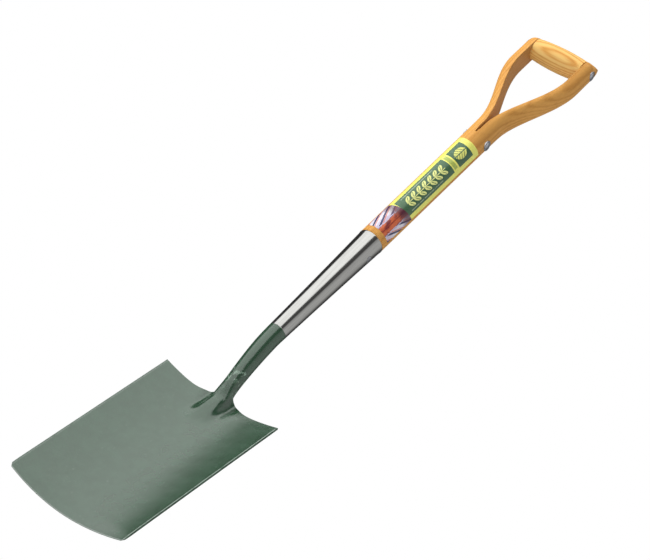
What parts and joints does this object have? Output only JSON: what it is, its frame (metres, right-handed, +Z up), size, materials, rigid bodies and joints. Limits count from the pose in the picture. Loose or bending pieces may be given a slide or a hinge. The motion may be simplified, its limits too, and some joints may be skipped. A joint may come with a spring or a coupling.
{
  "type": "garden spade",
  "caption": "Digging spade with a forged blade and socket, a split ash shaft and a riveted wooden cross grip.",
  "frame": {"origin": "on the shaft axis, in the middle of the bare band of wood between the socket rim and the label, where a tool clip grips the shaft", "axes": "+Z up the shaft towards the grip, +X to the right-hand side, -Y to the front, towards which the blade is hollow"},
  "size_m": [0.185, 0.0907, 1.024],
  "materials": {
    "painted_head": "glossy green enamel over forged steel, bare polished steel on the socket",
    "ash": "varnished ash, honey coloured, fine straight grain",
    "grip_wood": "varnished ash, light, with broad cathedral grain",
    "rivet_steel": "dull zinc-plated steel",
    "label": null
  },
  "bodies": {
    "root": {"forged_head": "painted_head", "ash_shaft": "ash", "grip": "grip_wood", "grip_rivet": "rivet_steel", "grip_washer_left": "rivet_steel", "grip_washer_right": "rivet_steel", "crotch_rivet": "rivet_steel", "crotch_washer_left": "rivet_steel", "crotch_washer_right": "rivet_steel", "socket_rivet": "rivet_steel", "shaft_label": "label"}
  },
  "joints": []
}
